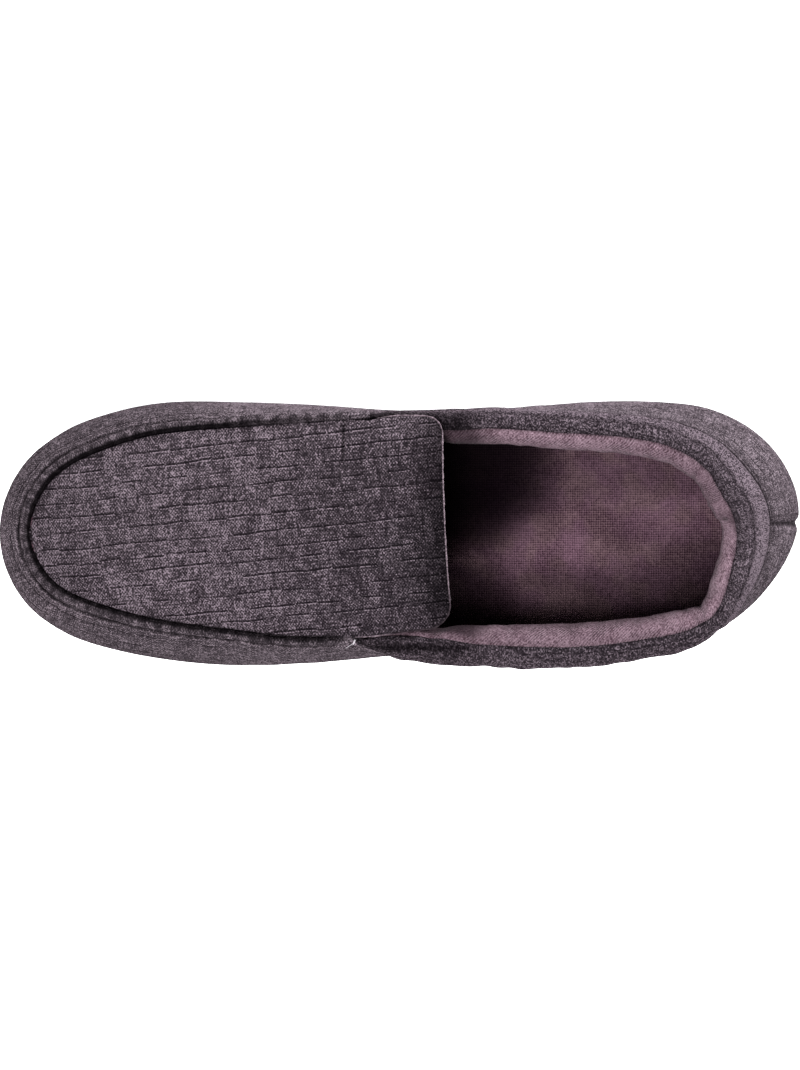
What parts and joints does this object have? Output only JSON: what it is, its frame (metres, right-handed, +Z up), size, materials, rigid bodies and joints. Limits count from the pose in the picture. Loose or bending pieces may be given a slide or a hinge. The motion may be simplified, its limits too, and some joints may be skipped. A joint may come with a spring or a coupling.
{
  "type": "moccasin slipper",
  "caption": "Closed-heel moccasin slipper for the left foot: hollow knit upper with a raised apron seam, tongue flap, padded collar, velour insole and rubber sole.",
  "frame": {"origin": "on the floor, under the middle of the shoe's box", "axes": "+X to the toe, +Y to the outer side of the foot, +Z up"},
  "size_m": [0.2912, 0.0968, 0.0729],
  "materials": {
    "heather_knit": "brushed heather knit, matt",
    "mauve_velour": "short-pile velour, matt",
    "sole_rubber": "matt moulded rubber"
  },
  "bodies": {
    "root": {"outsole": "sole_rubber", "insole": "mauve_velour", "upper": "heather_knit", "plug": "heather_knit", "cuff": "heather_knit"}
  },
  "joints": []
}
